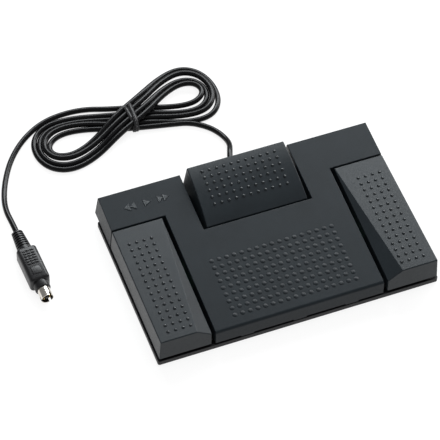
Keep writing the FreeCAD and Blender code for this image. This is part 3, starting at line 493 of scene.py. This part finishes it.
def make_plug_body():
    vertices, faces = [], []
    end = BOOT_LENGTH + BODY_LENGTH
    shape = (BODY_HALF_WIDTH, BODY_HALF_HEIGHT, BODY_CORNER)
    stations = ((BOOT_LENGTH, 1.5), (BOOT_LENGTH + 0.25, 0.7), (BOOT_LENGTH + 0.9, 0.15),
                (BOOT_LENGTH + 1.6, 0.0), (end - 2.2, 0.0), (end - 1.1, 0.3), (end - 0.35, 1.0), (end, 2.0))
    skin([rounded_loop(along, inset, *shape) for along, inset in stations], vertices, faces)
    for row in range(6):
        for column in (-1, 0, 1):
            raised_pad(column * 3.1, BOOT_LENGTH + 4.0 + 2.35 * row, 1.15, 0.55, 0.55, vertices, faces)
    raised_pad(0.0, BOOT_LENGTH + 22.6, 3.4, 3.2, 0.4, vertices, faces)
    rings = []
    for along, radius in ((end - 0.5, COLLAR_RADIUS), (end + COLLAR_LENGTH - 0.7, COLLAR_RADIUS),
                          (end + COLLAR_LENGTH - 0.2, COLLAR_RADIUS - 0.2),
                          (end + COLLAR_LENGTH, COLLAR_RADIUS - 0.7)):
        angles = [2 * math.pi * i / COLLAR_SIDES for i in range(COLLAR_SIDES)]
        rings.append([plug_point(radius * math.cos(angle), along, radius * math.sin(angle))
                      for angle in angles])
    skin(rings, vertices, faces)
    return closed_piece("plug_body_moulding", vertices, faces, smooth=False)


def shade_by_angle(piece, degrees):
    """Smooth shading, except across edges sharper than this."""
    work = bmesh.new()
    work.from_mesh(piece.data)
    for face in work.faces:
        face.smooth = True
    for edge in work.edges:
        edge.smooth = len(edge.link_faces) == 2 and edge.calc_face_angle(0.0) < math.radians(degrees)
    work.to_mesh(piece.data)
    work.free()


BOOT_PIECE = give(make_boot(), PLUG)
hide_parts("plug_boot")
BODY_PIECE = give(make_plug_body(), PLUG)
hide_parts("plug_body")
shade_by_angle(BOOT_PIECE, SHARP_EDGE)
shade_by_angle(BODY_PIECE, SHARP_EDGE)


# ---- grip dots ----------------------------------------------------------------------------
def dome_field(name, places, radius, height, body, material, sides=12):
    """Low domes joined in one mesh. places holds (centre, normal) in metres."""
    vertices, faces = [], []
    rings = ((1.0, -0.25), (0.97, 0.12), (0.78, 0.55), (0.42, 0.9))
    for centre, normal in places:
        across = normal.cross(Vector((0, 1, 0))).normalized()
        along = normal.cross(across)
        base = len(vertices)
        for share, rise in rings:
            for i in range(sides):
                angle = 2 * math.pi * i / sides
                vertices.append(centre + (across * math.cos(angle) + along * math.sin(angle)) * radius * share
                                + normal * height * rise)
        vertices.append(centre + normal * height)
        top = len(vertices) - 1
        for ring in range(len(rings) - 1):
            for i in range(sides):
                a = base + ring * sides + i
                b = base + ring * sides + (i + 1) % sides
                faces.append((a, b, b + sides, a + sides))
        last = base + (len(rings) - 1) * sides
        for i in range(sides):
            faces.append((last + i, last + (i + 1) % sides, top))
        faces.append(tuple(base + i for i in range(sides))[::-1])
    return give(mesh_piece(name, vertices, faces), material, body)


def grid(x0, x1, columns, y0, y1, rows):
    for row in range(rows):
        for column in range(columns):
            yield x0 + (x1 - x0) * column / (columns - 1), y0 + (y1 - y0) * row / (rows - 1)


def surface_height(node, x, y):
    """Highest point of a CAD node at x, y, and the normal there."""
    start = Vector((x, y, 1.0))
    _, place, normal, _ = node.ray_cast(start, Vector((0, 0, -1)))
    return place, normal


def dots_on(node_name, spots):
    node = nodes[node_name]
    return [surface_height(node, x * MM, y * MM) for x, y in spots]


DOT_RADIUS, DOT_HEIGHT = 1.3 * MM, 0.95 * MM
REST_DOT_RADIUS, REST_DOT_HEIGHT = 1.9 * MM, 0.45 * MM
for side, sign in (("left", -1), ("right", 1)):
    spots = grid(sign * 82.4, sign * 99.7, 4, 20.6, -61.4, 15)
    dome_field(side + "_pedal_dots", dots_on(side + "_pedal", spots), DOT_RADIUS, DOT_HEIGHT,
               side + "_pedal_body", DOTS)
dome_field("centre_pedal_dots", dots_on("centre_pedal", grid(-29.0, 29.0, 11, 58.0, 31.0, 6)), DOT_RADIUS,
           DOT_HEIGHT, "centre_pedal_body", DOTS)
dome_field("rest_dots", dots_on("top_cover", grid(-47.5, 47.5, 17, -11.6, -59.6, 9)), REST_DOT_RADIUS,
           REST_DOT_HEIGHT, "housing", REST_DOTS)


# ---- return springs -----------------------------------------------------------------------
SPRING_FOOT, SPRING_TOP = 3.25, 16.9
SPRING_RADIUS, SPRING_WIRE = 4.2, 0.45       # mean radius of the coil, radius of the wire
SPRING_TURNS = 6
STEPS_A_TURN, WIRE_SIDES = 24, 8
END_SHARE = 0.35           # of the rise that fades out towards both ends


def coil(name, centres):
    """Compression springs joined in one mesh. Their turns lie a little closer at the ends."""
    vertices, faces = [], []
    steps = STEPS_A_TURN * SPRING_TURNS
    for centre_x, centre_y in centres:
        loops = []
        for step in range(steps + 1):
            part = step / steps
            angle = 2 * math.pi * SPRING_TURNS * part
            rise = eased(part, 0.05, 0.95) * END_SHARE + part * (1 - END_SHARE)
            height = SPRING_FOOT + SPRING_WIRE + (SPRING_TOP - SPRING_FOOT - 2 * SPRING_WIRE) * rise
            outward = Vector((math.cos(angle), math.sin(angle), 0.0))
            middle = Vector((centre_x, centre_y, height)) + outward * SPRING_RADIUS
            loop = []
            for i in range(WIRE_SIDES):
                turn = 2 * math.pi * i / WIRE_SIDES
                upward = Vector((0, 0, SPRING_WIRE * math.sin(turn)))
                loop.append((middle + outward * SPRING_WIRE * math.cos(turn) + upward) * MM)
            loops.append(loop)
        skin(loops, vertices, faces)
    return give(closed_piece(name, vertices, faces), STEEL)


def return_springs():
    for name, node, joint, centres in (
            ("left_spring_coil", "left_spring", "left_pedal_press", [(-92.0, -34.0)]),
            ("right_spring_coil", "right_spring", "right_pedal_press", [(92.0, -34.0)]),
            ("centre_spring_coils", "centre_springs", "centre_pedal_press", [(-25.0, 50.0), (25.0, 50.0)])):
        piece = coil(name, centres)
        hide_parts(node)
        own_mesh(piece)


return_springs()


# ---- raised transport signs on the left block ---------------------------------------------
SIGN_HEIGHT = 5.6 * MM
SIGN_LENGTH = 4.2 * MM
SIGN_GAP = 0.2 * MM
SIGN_RAISED = 0.5 * MM
SIGN_SINK = 0.1 * MM
SIGN_SLOPE = 0.25 * MM     # how far the foot of each raised edge spreads


def triangle(left, right):
    """A triangle that points from x = left to x = right."""
    return [(left, -SIGN_HEIGHT / 2), (right, 0.0), (left, SIGN_HEIGHT / 2)]


def raised_signs(name, centre_y, signs):
    vertices, faces = [], []
    for centre_x, outlines in signs:
        place, normal = surface_height(nodes["top_cover"], centre_x, centre_y)
        across = Vector((0, 1, 0)).cross(normal).normalized()
        upward = normal.cross(across)
        for outline in outlines:
            middle = sum((Vector(p) for p in outline), Vector((0, 0))) / len(outline)
            loops = []
            for spread, height in ((SIGN_SLOPE, -SIGN_SINK), (SIGN_SLOPE, 0.0), (0.0, SIGN_RAISED)):
                loop = []
                for point in outline:
                    flat = Vector(point) + (Vector(point) - middle).normalized() * 2 * spread
                    loop.append(place + across * flat.x + upward * flat.y + normal * height)
                loops.append(loop)
            skin(loops, vertices, faces)
    piece = closed_piece(name, vertices, faces, smooth=False)
    return give(piece, SIGNS)


SIGN_Y = 51.8 * MM
raised_signs("transport_signs", SIGN_Y, [
    (-88.0 * MM, [triangle(SIGN_LENGTH, SIGN_GAP), triangle(-SIGN_GAP, -SIGN_LENGTH)]),
    (-75.0 * MM, [triangle(-SIGN_LENGTH / 2, SIGN_LENGTH * 0.7)]),
    (-62.0 * MM, [triangle(-SIGN_LENGTH, -SIGN_GAP), triangle(SIGN_GAP, SIGN_LENGTH)]),
])


# ---- stage --------------------------------------------------------------------------------
def make_stage():
    mesh = bpy.data.meshes.new("floor")
    size = 6.0
    corners = [(-size, -size, 0), (size, -size, 0), (size, size, 0), (-size, size, 0)]
    mesh.from_pydata(corners, [], [(0, 1, 2, 3)])
    floor = add_object("floor", mesh)
    material, tree, shader = new_material("floor_paper")
    shader.inputs["Base Color"].default_value = (0.2, 0.2, 0.2, 1.0)
    shader.inputs["Emission Color"].default_value = (1, 1, 1, 1)
    shader.inputs["Emission Strength"].default_value = 0.82
    shader.inputs["Roughness"].default_value = 0.9
    shader.inputs["Specular IOR Level"].default_value = 0.1
    mesh.materials.append(material)


def area_light(name, place, aim, size, power, colour=(1, 1, 1)):
    data = bpy.data.lights.new(name, "AREA")
    data.shape = "RECTANGLE"
    data.size, data.size_y = size
    data.energy = power
    data.color = colour
    light = bpy.data.objects.new(name, data)
    light.location = place
    light.rotation_euler = (Vector(aim) - Vector(place)).to_track_quat("-Z", "Y").to_euler()
    bpy.context.scene.collection.objects.link(light)


def make_light():
    world = bpy.data.worlds.new("studio")
    world.use_nodes = True
    world.node_tree.nodes["Background"].inputs["Color"].default_value = (1, 1, 1, 1)
    world.node_tree.nodes["Background"].inputs["Strength"].default_value = 0.25
    bpy.context.scene.world = world
    area_light("key", (0.55, 1.25, 1.15), (0, 0.0, 0), (1.7, 0.7), 36, (0.94, 0.98, 1.0))
    area_light("side", (1.5, 0.55, 0.75), (0, 0, 0), (0.9, 0.6), 12)
    area_light("top", (-0.2, -0.3, 2.2), (0, 0, 0), (1.8, 1.8), 30)
    bpy.data.objects["top"].visible_glossy = False
    bpy.context.scene.view_settings.view_transform = "Standard"


make_stage()
make_light()
